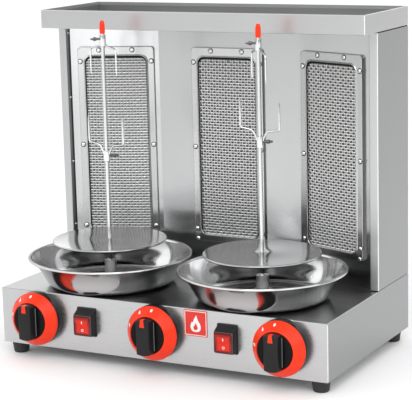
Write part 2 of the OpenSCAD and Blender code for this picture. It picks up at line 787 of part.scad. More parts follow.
base_shell();
base_bottom();
rear_panel();
rubber_feet();
cabinet_side(-1);  // cabinet_side_left
cabinet_side(1);  // cabinet_side_right
reflector_wall();
warming_tray();
burner_frames();
burner_meshes();
ceramic_tiles();
burner_boxes();
mixing_tubes();
gas_injectors();
panel_screws();
gas_manifold();
gas_inlet();
gas_taps();
gas_pipes();
dial_bases();
dial_rings();
switch_housings();
badge_plate();
gearmotor_cases();
hub_bushes();
cable_gland();
wiring_loom();
drive_hub(-1);  // drive_hub_left
drive_hub(1);  // drive_hub_right
output_gear(-1);  // output_gear_left
output_gear(1);  // output_gear_right
motor_rotor(-1);  // motor_rotor_left
motor_rotor(1);  // motor_rotor_right
spit_rod(-1);  // spit_rod_left
spit_rod(1);  // spit_rod_right
meat_plate(-1);  // meat_plate_left
meat_plate(1);  // meat_plate_right
spit_cap(-1);  // spit_cap_left
spit_cap(1);  // spit_cap_right
fork(upper_left, upper_wire);  // fork_upper_left
fork(upper_right, upper_wire);  // fork_upper_right
fork(lower_left, lower_wire);  // fork_lower_left
fork(lower_right, lower_wire);  // fork_lower_right
thumbscrew(upper_left);  // thumbscrew_upper_left
thumbscrew(upper_right);  // thumbscrew_upper_right
thumbscrew(lower_left);  // thumbscrew_lower_left
thumbscrew(lower_right);  // thumbscrew_lower_right
drip_pan(-1);  // drip_pan_left
drip_pan(1);  // drip_pan_right
tap_plug(-1);  // tap_plug_left
tap_plug(0);  // tap_plug_middle
tap_plug(1);  // tap_plug_right
tap_spindle(-1);  // tap_spindle_left
tap_spindle(0);  // tap_spindle_middle
tap_spindle(1);  // tap_spindle_right
knob(-1);  // knob_left
knob(0);  // knob_middle
knob(1);  // knob_right
rocker(switch_x[0]);  // rocker_left
rocker(switch_x[1]);  // rocker_right
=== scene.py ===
"""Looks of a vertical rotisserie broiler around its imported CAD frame. Metres, +Z up, panel towards -Y."""
import json
import math

import bmesh
import bpy
from mathutils import Matrix, Vector


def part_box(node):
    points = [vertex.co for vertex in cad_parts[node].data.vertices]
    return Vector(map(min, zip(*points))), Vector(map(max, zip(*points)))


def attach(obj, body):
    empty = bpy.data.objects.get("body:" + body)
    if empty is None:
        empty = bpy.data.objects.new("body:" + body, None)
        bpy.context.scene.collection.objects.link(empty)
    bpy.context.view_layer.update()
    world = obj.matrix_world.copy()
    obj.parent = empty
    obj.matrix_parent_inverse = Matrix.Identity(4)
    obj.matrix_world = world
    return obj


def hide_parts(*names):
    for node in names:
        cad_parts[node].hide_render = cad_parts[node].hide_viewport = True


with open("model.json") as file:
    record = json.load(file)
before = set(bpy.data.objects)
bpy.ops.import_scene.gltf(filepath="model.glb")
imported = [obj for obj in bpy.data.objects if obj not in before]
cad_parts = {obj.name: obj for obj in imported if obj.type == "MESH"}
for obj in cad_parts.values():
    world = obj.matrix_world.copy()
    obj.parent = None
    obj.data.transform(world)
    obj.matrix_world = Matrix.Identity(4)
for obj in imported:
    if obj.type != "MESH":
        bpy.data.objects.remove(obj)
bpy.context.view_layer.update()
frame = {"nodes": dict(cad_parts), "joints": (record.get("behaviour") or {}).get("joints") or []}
JOINTS = {j["name"]: j for j in frame["joints"]}
NODES = frame["nodes"]
MM = 0.001
SIDES = {"left": -1, "right": 1}
DIALS = ("left", "middle", "right")
FORKS = ("upper_left", "upper_right", "lower_left", "lower_right")
BURNERS = {"left": -1, "middle": 0, "right": 1}


# ---------- places taken from the frame ----------

def low(node):
    return Vector(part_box(node)[0])


def high(node):
    return Vector(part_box(node)[1])


def middle(node):
    return (low(node) + high(node)) / 2


PANEL_Y = low("base_shell").y
FOOT_Z = low("base_shell").z
SHEET = 1.2 * MM
FOLD_X = 141 * MM  # the burner wall folds here and at -FOLD_X
FOLD_Y = PANEL_Y + 286 * MM
WING_ANGLE = math.atan2(55, 156)
WING_BURNER = 80 * MM  # from the fold to the middle of a wing's burner
WINDOW = (115 * MM, 327 * MM)  # width and height of a burner's opening
WINDOW_Z = middle("burner_meshes").z
FRAME_FACE = 5.6  # mm from the wall to the front of a burner's frame


def spit_axis(side):
    return Vector(JOINTS["turn_" + side]["pos_m"])


def dial_centre(name):
    p = Vector(JOINTS["turn_knob_" + name]["pos_m"])
    return Vector((p.x, PANEL_Y, p.z))


def burner_place(i):
    """Matrix of a burner: local X along its facet, Z up, -Y out of the wall. i is -1, 0 or 1."""
    if i == 0:
        return Matrix.Translation((0, FOLD_Y, WINDOW_Z))
    x = FOLD_X + WING_BURNER * math.cos(WING_ANGLE)
    y = FOLD_Y - WING_BURNER * math.sin(WING_ANGLE)
    return Matrix.Translation((i * x, y, WINDOW_Z)) @ Matrix.Rotation(-i * WING_ANGLE, 4, "Z")


# ---------- materials ----------

def put(tree, kind, values=None, **settings):
    """A new node with its settings and its unlinked input values."""
    made = tree.nodes.new(kind)
    for key, value in settings.items():
        setattr(made, key, value)
    for key, value in (values or {}).items():
        made.inputs[key].default_value = value
    return made


def start(name, color, roughness, metallic=0.0, **sockets):
    """A new material with its shader's own values set: (material, tree, shader)."""
    made = bpy.data.materials.new(name)
    made.use_nodes = True
    tree = made.node_tree
    shader = tree.nodes["Principled BSDF"]
    values = {"Base Color": (*color, 1), "Roughness": roughness, "Metallic": metallic, **sockets}
    for key, value in values.items():
        shader.inputs[key].default_value = value
    return made, tree, shader


def grain(tree, scale, detail=4.0):
    """Noise stretched by scale, in cells per metre along each axis."""
    place = put(tree, "ShaderNodeTexCoord")
    stretch = put(tree, "ShaderNodeMapping", {"Scale": scale})
    noise = put(tree, "ShaderNodeTexNoise", {"Scale": 1.0, "Detail": detail, "Roughness": 0.6})
    tree.links.new(place.outputs["Object"], stretch.inputs["Vector"])
    tree.links.new(stretch.outputs["Vector"], noise.inputs["Vector"])
    return noise.outputs["Fac"]


def between(tree, value, lowest, highest, start_at=0.3, end_at=0.7):
    """Value taken from start_at..end_at to lowest..highest."""
    spread = put(tree, "ShaderNodeMapRange", {
        "From Min": start_at, "From Max": end_at, "To Min": lowest, "To Max": highest})
    tree.links.new(value, spread.inputs["Value"])
    return spread.outputs["Result"]


def tint(tree, value, dark, light):
    """Colour between dark and light, following value."""
    ramp = put(tree, "ShaderNodeValToRGB")
    ramp.color_ramp.elements[0].position = 0.3
    ramp.color_ramp.elements[0].color = (*dark, 1)
    ramp.color_ramp.elements[1].position = 0.7
    ramp.color_ramp.elements[1].color = (*light, 1)
    tree.links.new(value, ramp.inputs["Fac"])
    return ramp.outputs["Color"]


def relief(tree, shader, value, strength, depth):
    """Bump that follows value."""
    bump = put(tree, "ShaderNodeBump", {"Strength": strength, "Distance": depth})
    tree.links.new(value, bump.inputs["Height"])
    tree.links.new(bump.outputs["Normal"], shader.inputs["Normal"])


def shade(color, k):
    """Colour times k."""
    return tuple(c * k for c in color)


MIX_FACTOR, MIX_A, MIX_B, MIX_RESULT = 0, 6, 7, 2  # the colour sockets of a Mix node


def brushed(name, color, roughness, scale, spread=0.06, depth=0.00004, sides=1.0, top=1.0):
    """Metal with a fine grain and a faint cloudy tone. Painted shade: faces that look along X take sides
    times its colour, and faces that look along Z take top times its colour."""
    made, tree, shader = start(name, color, roughness, 1.0)
    lines = grain(tree, scale)
    tree.links.new(between(tree, lines, roughness - spread, roughness + spread), shader.inputs["Roughness"])
    cloud = grain(tree, (6, 6, 3), 2.0)
    tone = tint(tree, cloud, shade(color, 0.94), color)
    # Painted shade: a darker colour on faces that look along X or along Z.
    for axis, k in (("X", sides), ("Z", top)):
        if k < 1:
            face = put(tree, "ShaderNodeTexCoord")
            split = put(tree, "ShaderNodeSeparateXYZ")
            size = put(tree, "ShaderNodeMath", operation="ABSOLUTE")
            tree.links.new(face.outputs["Normal"], split.inputs["Vector"])
            tree.links.new(split.outputs[axis], size.inputs[0])
            mix = put(tree, "ShaderNodeMix", {MIX_B: (*shade(color, k), 1)}, data_type="RGBA")
            tree.links.new(size.outputs["Value"], mix.inputs[MIX_FACTOR])
            tree.links.new(tone, mix.inputs[MIX_A])
            tone = mix.outputs[MIX_RESULT]
    tree.links.new(tone, shader.inputs["Base Color"])
    relief(tree, shader, lines, 0.25, depth)
    return made


def polished(name, color, roughness, scale=(40, 40, 40)):
    """Mirror-bright metal with slight hand marks."""
    made, tree, shader = start(name, color, roughness, 1.0)
    marks = grain(tree, scale, 6.0)
    tree.links.new(between(tree, marks, roughness * 0.6, roughness * 1.6), shader.inputs["Roughness"])
    relief(tree, shader, marks, 0.05, 0.0001)
    return made


def moulded(name, color, roughness, speck=2500, depth=0.00003, **sockets):
    """Moulded plastic or rubber with a fine pebbled skin."""
    made, tree, shader = start(name, color, roughness, **sockets)
    skin = grain(tree, (speck, speck, speck), 2.0)
    tree.links.new(between(tree, skin, roughness * 0.85, roughness * 1.15), shader.inputs["Roughness"])
    cloud = grain(tree, (30, 30, 30), 3.0)
    tree.links.new(tint(tree, cloud, shade(color, 0.88), color), shader.inputs["Base Color"])
    relief(tree, shader, skin, 0.3, depth)
    return made


def porous(name, color):
    """Ceramic tile, pierced by rows of small holes, each drawn as a dark spot: painted shade."""
    made, tree, shader = start(name, color, 0.85)
    place = put(tree, "ShaderNodeTexCoord")
    cells = put(tree, "ShaderNodeTexVoronoi", {"Scale": 420.0, "Randomness": 0.0})
    tree.links.new(place.outputs["Object"], cells.inputs["Vector"])
    holes = between(tree, cells.outputs["Distance"], 0.0, 1.0, 0.28, 0.4)
    # Darker colour in the holes: painted shade.
    tree.links.new(tint(tree, holes, shade(color, 0.15), color), shader.inputs["Base Color"])
    relief(tree, shader, holes, 0.6, 0.0008)
    return made


STEEL = (0.56, 0.563, 0.568)
ALONG_X, ALONG_Z = (3, 2600, 2600), (2600, 2600, 3)  # brushing lines
# Painted shade through sides and top: faces of the base, tray, cabinet sides, frames, pans, rods, screws and
# forks that look along X or Z take a darker colour.
mat_base = brushed("steel_base", STEEL, 0.30, ALONG_X, 0.05, 0.00001, sides=0.6, top=0.62)
mat_tray = brushed("steel_tray", STEEL, 0.32, ALONG_X, 0.05, 0.00001, sides=0.92)
# Darker copy of the steel for the tray's inside: painted shade.
mat_tray_inside_shade = brushed("steel_tray_inside_painted_shade", shade(STEEL, 0.66), 0.32, ALONG_X, 0.05, 0.00001)
mat_upright = brushed("steel_brushed_up", STEEL, 0.32, ALONG_Z, 0.05, 0.00001, sides=0.6)
mat_wall = brushed("steel_wall", (0.55, 0.553, 0.558), 0.22, ALONG_Z, 0.015, 0.0000005)
mat_frame = brushed("steel_pressed", (0.66, 0.663, 0.668), 0.22, (30, 30, 8), 0.02, 0.000001, sides=0.25)
mat_polish = brushed("steel_polished", (0.78, 0.783, 0.788), 0.12, (40, 40, 40), 0.05, 0.000002, top=0.26)
mat_plate = polished("steel_plate", (0.42, 0.422, 0.425), 0.11)
mat_rod = brushed("steel_rod", (0.86, 0.864, 0.868), 0.14, (200, 200, 20), 0.05, 0.000002, sides=0.55)
mat_fork = brushed("steel_bent", (0.88, 0.884, 0.888), 0.14, (200, 200, 200), 0.05, 0.000002,
                   sides=0.9, top=0.12)
mat_screw = polished("steel_cast", (0.12, 0.121, 0.123), 0.22, (200, 200, 200))
# Black for strips that paint the shadow under the burner frames' lips.
mat_shadow_strip = moulded("shadow_strip_black", (0.012, 0.012, 0.012), 0.7, 900, **{"Specular IOR Level": 0.1})
# Near-white steel for thin wires that paint a highlight along the front bends.
mat_bend_highlight = polished("steel_bend_painted_highlight", (0.96, 0.96, 0.96), 0.28)
# Lit and shaded copies of one wire steel: the cross wires' lighter colour is painted highlight, the upright
# wires' darker colour painted shade.
mat_weft = polished("steel_wire_across_painted_highlight", (0.86, 0.86, 0.855), 0.30, (300, 300, 300))
mat_warp = polished("steel_wire_up_painted_shade", (0.52, 0.52, 0.515), 0.30, (300, 300, 300))
# Dark steel for the rings under the frame screws' heads.
mat_dark_ring = brushed("steel_dark_ring", (0.07, 0.07, 0.072), 0.4, (500, 500, 500))
mat_tile = porous("ceramic_tile", (0.17, 0.165, 0.16))
mat_hidden = brushed("steel_plain", (0.42, 0.43, 0.44), 0.45, (60, 60, 60))
mat_motor = moulded("motor_paint", (0.10, 0.105, 0.11), 0.45)
mat_gear = brushed("steel_machined", (0.50, 0.50, 0.52), 0.32, (500, 500, 80))
mat_brass = brushed("brass_turned", (0.80, 0.58, 0.26), 0.28, (200, 200, 900))
mat_pipe = brushed("aluminium_tube", (0.78, 0.78, 0.79), 0.36, (150, 40, 150))
mat_rubber = moulded("rubber_black", (0.018, 0.018, 0.018), 0.62, 900, 0.0001)
mat_black = moulded("plastic_black", (0.012, 0.012, 0.013), 0.30, **{"Specular IOR Level": 0.22})
# Darker copy of the knobs' black plastic for their discs: painted shade.
mat_disc = moulded("plastic_black_smooth_painted_shade", (0.004, 0.004, 0.004), 0.24, **{"Specular IOR Level": 0.12})
# Grey for thin strips and rings that paint highlights on black plastic edges.
mat_edge_highlight = moulded("plastic_painted_highlight", (0.09, 0.09, 0.093), 0.4)
# Lit and shaded copies of the rockers' one red plastic: the border and the lip darker, painted shade; the
# faces brighter, painted light.
mat_border = moulded("plastic_red_painted_shade", (0.26, 0.007, 0.004), 0.25, 1200, 0.00001)
# Near-white steel that lightens the hub in the plate's shadow: painted light.
mat_hub_lightened = polished("steel_hub_painted_light", (0.95, 0.95, 0.95), 0.35)
mat_lip = moulded("plastic_red_lip_painted_shade", (0.12, 0.004, 0.003), 0.25, 1200, 0.00001)
mat_orange = moulded("plastic_orange_red", (0.84, 0.036, 0.008), 0.33, **{"Specular IOR Level": 0.22})
mat_red = moulded("plastic_red_clear_painted_light", (0.70, 0.018, 0.004), 0.18, 1200, 0.00001,
                  **{"Subsurface Weight": 0.2, "Subsurface Scale": 0.004, "Specular IOR Level": 0.3})
mat_badge = moulded("label_red", (0.62, 0.035, 0.025), 0.30, 600, 0.00001, **{"Specular IOR Level": 0.3})
mat_white = moulded("print_white", (0.74, 0.74, 0.73), 0.45, 600, 0.00001)
mat_cable = moulded("cable_skin", (0.03, 0.03, 0.032), 0.5)


# ---------- mesh helpers ----------

def new_mesh(name, points, faces):
    """Mesh with its faces turned outwards."""
    mesh = bpy.data.meshes.new(name)
    mesh.from_pydata([tuple(p) for p in points], [], faces)
    bm = bmesh.new()
    bm.from_mesh(mesh)
    bmesh.ops.recalc_face_normals(bm, faces=bm.faces)
    bm.to_mesh(mesh)
    bm.free()
    return mesh


def piece(name, parts, body, mat, replaces=(), sharp=35):
    """One object from a list of (points, faces), riding on a body."""
    points, faces = [], []
    for p, f in parts:
        base = len(points)
        points += [tuple(v) for v in p]
        faces += [[i + base for i in face] for face in f]
    mesh = new_mesh(name, points, faces)
    mesh.polygons.foreach_set("use_smooth", [True] * len(mesh.polygons))
    mesh.set_sharp_from_angle(angle=math.radians(sharp))
    mesh.materials.append(mat)
    obj = bpy.data.objects.new(name, mesh)
    bpy.context.scene.collection.objects.link(obj)
    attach(obj, body)
    if replaces:
        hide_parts(*replaces)
    return obj


def moved(part, matrix):
    points, faces = part
    return [matrix @ Vector(p) for p in points], faces


def mm(points):
    """Points given in millimetres."""
    return [tuple(v * MM for v in p) for p in points]


def at(x, y, z):
    return Matrix.Translation((x, y, z))


def facing(axis):
    """Turn that takes local +Z to a direction."""
    return Vector(axis).to_track_quat("Z", "Y").to_matrix().to_4x4()


OUTWARD = Matrix.Rotation(math.radians(90), 4, "X")  # local +Z to -Y, out of the panel


def fillet(points, radius, steps=4, closed=True):
    """2-D or 3-D outline with its corners rounded."""
    out = []
    n = len(points)
    for i, p in enumerate(points):
        p = Vector(p)
        if not closed and i in (0, n - 1):
            out.append(p)
            continue
        before = Vector(points[i - 1]) - p
        after = Vector(points[(i + 1) % n]) - p
        r = min(radius, before.length * 0.49, after.length * 0.49)
        if r < 1e-7:
            out.append(p)
            continue
        a = p + before.normalized() * r
        b = p + after.normalized() * r
        for k in range(steps + 1):
            t = k / steps
            out.append(a * (1 - t) ** 2 + p * 2 * t * (1 - t) + b * t ** 2)
    return out


def lathe(profile, segments=48):
    """Closed outline of (radius, height) points turned about Z. Points on the axis close it."""
    points, rows = [], []
    for r, z in profile:
        if r < 1e-6:
            rows.append([len(points)] * segments)
            points.append((0, 0, z))
            continue
        rows.append(range(len(points), len(points) + segments))
        for k in range(segments):
            a = 2 * math.pi * k / segments
            points.append((r * math.cos(a), r * math.sin(a), z))
    faces = []
    for i, row in enumerate(rows):
        nxt = rows[(i + 1) % len(rows)]
        if row[0] == row[1] and nxt[0] == nxt[1]:
            continue
        for k in range(segments):
            j = (k + 1) % segments
            face = [row[k], row[j], nxt[j], nxt[k]]
            faces.append(list(dict.fromkeys(face)))
    return points, faces


def stack(loops, closed=False):
    """Skin through loops of the same length. closed joins the last to the first, else the ends are capped."""
    points = [p for loop in loops for p in loop]
    n = len(loops[0])
    faces = []
    count = len(loops) if closed else len(loops) - 1
    for i in range(count):
        a, b = i * n, (i + 1) % len(loops) * n
        faces += [[a + k, a + (k + 1) % n, b + (k + 1) % n, b + k] for k in range(n)]
    if not closed:
        faces += [list(range(n)), list(range(len(points) - n, len(points)))]
    return points, faces


def tube(path, radius, sides=8):
    """Round wire along a path. radius is one number or one for each point."""
    path = [Vector(p) for p in path]
    radii = radius if isinstance(radius, list) else [radius] * len(path)
    loops = []
    side = None
    for i, p in enumerate(path):
        ahead = (path[min(i + 1, len(path) - 1)] - path[max(i - 1, 0)]).normalized()
        if side is None:
            side = ahead.orthogonal().normalized()
        side = (side - ahead * side.dot(ahead)).normalized()
        other = ahead.cross(side)
        loops.append([p + (side * math.cos(a) + other * math.sin(a)) * radii[i]
                      for a in (2 * math.pi * k / sides for k in range(sides))])
    return stack(loops)


def rounded(w, h, r, per_corner=6):
    """Rectangle with round corners in the X-Z plane, anticlockwise seen from the front."""
    out = []
    for cx, cz, a0 in ((1, 1, 0), (-1, 1, 90), (-1, -1, 180), (1, -1, 270)):
        for k in range(per_corner + 1):
            a = math.radians(a0 + 90 * k / per_corner)
            out.append((cx * (w / 2 - r) + r * math.cos(a), cz * (h / 2 - r) + r * math.sin(a)))
    return out


def layer(outline, y):
    """Outline in the X-Z plane, at y."""
    return [(x, y, z) for x, z in outline]


def prism(outline, back, front, edge=0.0):
    """Solid of an outline in the X-Z plane, from y = back to y = front, with its front eased by edge."""
    cx = sum(p[0] for p in outline) / len(outline)
    cz = sum(p[1] for p in outline) / len(outline)
    size = max(max(abs(x - cx), abs(z - cz)) for x, z in outline)
    k = 1 - edge / size
    small = [(cx + (x - cx) * k, cz + (z - cz) * k) for x, z in outline]
    ease = edge if front > back else -edge
    loops = [layer(outline, back), layer(outline, front - ease), layer(small, front)]
    return stack(loops if edge else [loops[0], layer(outline, front)])


def carve(block, cuts):
    """A closed part with other closed parts cut out of it."""
    objects = []
    for points, faces in [block] + cuts:
        obj = bpy.data.objects.new("carve", new_mesh("carve", points, faces))
        bpy.context.scene.collection.objects.link(obj)
        objects.append(obj)
    for tool in objects[1:]:
        cutter = objects[0].modifiers.new("cut", "BOOLEAN")
        cutter.operation = "DIFFERENCE"
        cutter.object = tool
        cutter.solver = "EXACT"
    done = objects[0].evaluated_get(bpy.context.evaluated_depsgraph_get()).to_mesh()
    part = ([v.co.copy() for v in done.vertices], [list(p.vertices) for p in done.polygons])
    for obj in objects:
        bpy.data.meshes.remove(obj.data)  # takes its object with it
    return part


def brick(a, b, radius=0.0, bent=lambda middle: True):
    """Box between two corners, with the edges round where bent(the edge's middle) says so."""
    a, b = Vector(a), Vector(b)
    bm = bmesh.new()
    bmesh.ops.create_cube(bm, size=1)
    for v in bm.verts:
        v.co = Vector(((v.co[k] + 0.5) * (b[k] - a[k]) + a[k] for k in range(3)))
    if radius:
        edges = [e for e in bm.edges if bent((e.verts[0].co + e.verts[1].co) / 2)]
        bmesh.ops.bevel(bm, geom=edges, offset=radius, segments=4, profile=0.5, affect="EDGES")
    bm.verts.index_update()
    part = ([v.co.copy() for v in bm.verts], [[v.index for v in f.verts] for f in bm.faces])
    bm.free()
    return part


def rod_y(x, z, radius, start_y, end_y):
    """Round cutter along Y."""
    part = lathe([(0, start_y), (radius, start_y), (radius, end_y), (0, end_y)], 48)
    return moved(part, at(x, 0, z) @ facing((0, 1, 0)))


def rod_z(x, y, radius, start_z, end_z):
    """Round cutter along Z."""
    part = lathe([(0, start_z), (radius, start_z), (radius, end_z), (0, end_z)], 48)
    return moved(part, at(x, y, 0))


def soften(node, width, mat):
    """Keeps a CAD node, with its own material and its edges eased by width."""
    obj = NODES[node]
    obj.data.materials.clear()
    obj.data.materials.append(mat)
    if width:
        ease = obj.modifiers.new("ease", "BEVEL")
        ease.width = width
        ease.segments = 2
        ease.limit_method = "ANGLE"
        ease.angle_limit = math.radians(30)
        ease.harden_normals = False


# ---------- casing ----------

for node, width, mat in (
        ("base_bottom", 0, mat_hidden),
        ("rear_panel", 0, mat_upright),
        ("reflector_wall", 0, mat_wall),
        ("ceramic_tiles", 0, mat_tile),
        ("burner_boxes", 0, mat_hidden),
        ("mixing_tubes", 0, mat_hidden),
        ("gas_injectors", 0, mat_brass),
        ("gas_manifold", 0, mat_pipe),
        ("gas_inlet", 0.3 * MM, mat_brass),
        ("gas_taps", 0, mat_brass),
        ("gas_pipes", 0, mat_pipe),
        ("gearmotor_cases", 0, mat_motor),
        ("hub_bushes", 0.4 * MM, mat_brass),
        ("cable_gland", 0.4 * MM, mat_black),
        ("wiring_loom", 0, mat_cable)):
    soften(node, width, mat)
for side in SIDES:
    soften("drive_hub_" + side, 0.5 * MM, mat_hub_lightened)
    soften("output_gear_" + side, 0, mat_gear)
    soften("motor_rotor_" + side, 0, mat_gear)
for name in DIALS:
    soften("tap_plug_" + name, 0, mat_brass)
    soften("tap_spindle_" + name, 0, mat_gear)


def sheet_piece(name, part, mat, node):
    """Piece of bent sheet that replaces a node of the casing, its flats shaded flat."""
    obj = piece(name, [part], "casing", mat, [node])
    flat = obj.modifiers.new("flat", "WEIGHTED_NORMAL")
    flat.keep_sharp = True


def base():
    """Shell bent from one sheet, open below and behind, with its holes."""
    a, b = low("base_shell"), high("base_shell")
    t = SHEET
    spindle_r, hub_r, motor_screw_r, tube_r = 10 * MM, 14.05 * MM, 4 * MM, 13 * MM
    switch_x, switch_z = 16.5 * MM, 23 * MM
    motor_y, screw_x, screw_y = 11.25, 17.68, 28.93  # mm from a hub's axis
    tube_y = 28 * MM  # a mixing tube's axis behind the face of its burner's wall
    cuts = [brick(a + Vector((t, t, -t)), Vector((b.x - t, b.y + t, b.z - t))),
            brick((a.x + t, b.y - t, a.z - t), (b.x - t, b.y + t, b.z + t))]
    for name in DIALS:
        c = dial_centre(name)
        cuts.append(rod_y(c.x, c.z, spindle_r, a.y - t, a.y + 3 * t))
    z = middle("switch_housings").z
    for side in SIDES:
        x = Vector(JOINTS["press_rocker_" + side]["pos_m"]).x
        cuts.append(brick((x - switch_x, a.y - t, z - switch_z), (x + switch_x, a.y + 3 * t, z + switch_z)))
        c = spit_axis(side)
        cuts.append(rod_z(c.x, c.y, hub_r, b.z - 3 * t, b.z + t))
        for u in (-1, 1):
            for v in (-1, 1):
                cuts.append(rod_z(c.x + u * screw_x * MM, c.y + (motor_y + v * screw_y) * MM, motor_screw_r,
                                  b.z - 3 * t, b.z + t))
    for i in BURNERS.values():
        foot = burner_place(i) @ Vector((0, tube_y, 0))
        cuts.append(rod_z(foot.x, foot.y, tube_r, b.z - 3 * t, b.z + t))
    block = brick(a, b, 2 * MM, lambda m: m.z > a.z + t and m.y < b.y - t)
    sheet_piece("base_folded", carve(block, cuts), mat_base, "base_shell")


def cabinet_sides():
    """Side sheets with a front face and an inner lip bent from each, a thin seam above and below."""
    gap, lip = 1.5 * MM, 17 * MM
    for side, k in SIDES.items():
        a, b = low("cabinet_side_" + side), high("cabinet_side_" + side)
        outer, inner = (b.x, a.x) if k > 0 else (a.x, b.x)
        t = SHEET * k
        outline = [(inner, a.y + lip), (inner, a.y), (outer, a.y), (outer, b.y), (outer - t, b.y),
                   (outer - t, a.y + abs(t)), (inner + t, a.y + abs(t)), (inner + t, a.y + lip)]
        outline = fillet(outline, 2 * MM, 5)
        part = stack([[(p[0], p[1], z) for p in outline] for z in (a.z + gap, b.z - gap)])
        sheet_piece("cabinet_side_folded_" + side, part, mat_upright, "cabinet_side_" + side)


def tray():
    """Warming tray with a hem round its rim, and a thin skin of darker steel inside: painted shade."""
    a, b = low("warming_tray"), high("warming_tray")
    t, hem, hem_z = SHEET, 2.4 * MM, 6 * MM
    cuts = [brick(a + Vector((t, t, t)), b - Vector((t, t, hem_z))),
            brick((a.x + hem, a.y + hem, b.z - hem_z - 1 * MM), (b.x - hem, b.y - hem, b.z + t))]
    sheet_piece("warming_tray_folded", carve(brick(a, b, 1.1 * MM), cuts), mat_tray, "warming_tray")
    # Thin skin over the tray's inside in the darker steel: painted shade.
    thin = 0.1 * MM
    near, far = t - thin, t + thin
    outside = brick(a + Vector((near, near, near)), b - Vector((near, near, hem_z + thin)))
    inside = brick(a + Vector((far, far, far)), b - Vector((far, far, hem_z - 1 * MM)))
    piece("warming_tray_inside_painted_shade", [carve(outside, [inside])], "casing", mat_tray_inside_shade)


def bend_highlights():
    """Thin near-white wires along the upright front corners: a painted highlight on each bend."""
    r = 0.9 * MM
    bent = (("base_shell", 2.5, (-1, 1)), ("warming_tray", 1.2, (-1, 1)),
            ("cabinet_side_left", 1.6, (-1,)), ("cabinet_side_right", 1.6, (1,)))
    parts = []
    for node, short, corners in bent:
        a, b = low(node), high(node)
        for k in corners:
            x = a.x + r if k < 0 else b.x - r
            parts.append(tube([(x, a.y + r, a.z + short * MM), (x, a.y + r, b.z - short * MM)], r, 10))
    piece("bend_highlight_lines", parts, "casing", mat_bend_highlight)


def rivets():
    """Rivets of the cabinet sides' inner lips."""
    head = lathe(mm([(0, -0.5), (2.6, -0.5), (2.6, 0.4), (2.1, 1.2), (1.2, 1.6), (0, 1.7)]), 20)
    parts = []
    for side, k in SIDES.items():
        a, b = low("cabinet_side_" + side), high("cabinet_side_" + side)
        face = min(abs(a.x), abs(b.x))
        parts += [moved(head, at(k * face, a.y + 9 * MM, b.z - drop * MM) @ facing((-k, 0, 0)))
                  for drop in (14, 134, 254, 374)]
    piece("lip_rivets", parts, "casing", mat_rod)


def rubber_feet():
    a, b = low("rubber_feet"), high("rubber_feet")
    top_r, top_z = 16.5, FOOT_Z / MM
    profile = [(0, 0), (11.5, 0), (13.2, 1.2), (14.2, 8), (15.2, 15), (16.3, 19), (top_r, top_z), (0, top_z)]
    foot = lathe(mm(fillet(profile, 1.0, 3)), 40)
    inset = top_r * MM
    corners = [(x, y) for x in (a.x + inset, b.x - inset) for y in (a.y + inset, b.y - inset)]
    feet = [moved(foot, at(x, y, 0)) for x, y in corners]
    piece("rubber_feet_turned", feet, "casing", mat_rubber, ["rubber_feet"])


# ---------- burners ----------

def woven_screens():
    """Coarse bulging screens of upright and cross wires that pass over and under each other."""
    pitch_x, pitch_z = 5.8 * MM, 5.0 * MM
    wave = 1.5 * MM
    up_r, across_r = 1.4 * MM, 1.3 * MM
    tucked = 1.2 * MM  # wire under the frame's edge
    half_w, half_h = WINDOW[0] / 2 + tucked, WINDOW[1] / 2 + tucked
    depth, bulge = 1.4 * MM, 2.6 * MM
    bare, drop = 8 * MM, 2.5 * MM  # height left without cross wires, and how far they sit below the middle

    def height(x, z):
        return -depth - bulge * (1 - (x / half_w) ** 2) * (1 - (z / half_h) ** 4)

    columns = int(2 * half_w / pitch_x)
    rows = int((2 * half_h - bare) / pitch_z)
    for name, i in BURNERS.items():
        place = burner_place(i)
        upright, across = [], []
        for c in range(columns + 1):
            x = (c - columns / 2) * pitch_x
            path = []
            for r in range(rows + 2):
                z = max(-half_h, min(half_h, (r - rows / 2 - 0.5) * pitch_z - drop))
                over = wave * (1 if (r + c) % 2 else -1)
                path.append((x, height(x, z) + over * (0 if r in (0, rows + 1) else 1), z))
            path.append((x, height(x, half_h), half_h))
            upright.append(moved(tube(path, up_r, 6), place))
        for r in range(rows + 1):
            z = (r - rows / 2) * pitch_z - drop
            path = []
            for c in range(columns + 2):
                x = max(-half_w, min(half_w, (c - columns / 2 - 0.5) * pitch_x))
                over = wave * (1 if (r + c) % 2 else -1)
                path.append((x, height(x, z) + over * (0 if c in (0, columns + 1) else 1), z))
            across.append(moved(tube(path, across_r, 6), place))
        replaced = ["burner_meshes"] if i == 0 else []
        piece("woven_up_" + name, upright, "casing", mat_warp, replaced, 80)
        piece("woven_across_" + name, across, "casing", mat_weft, [], 80)


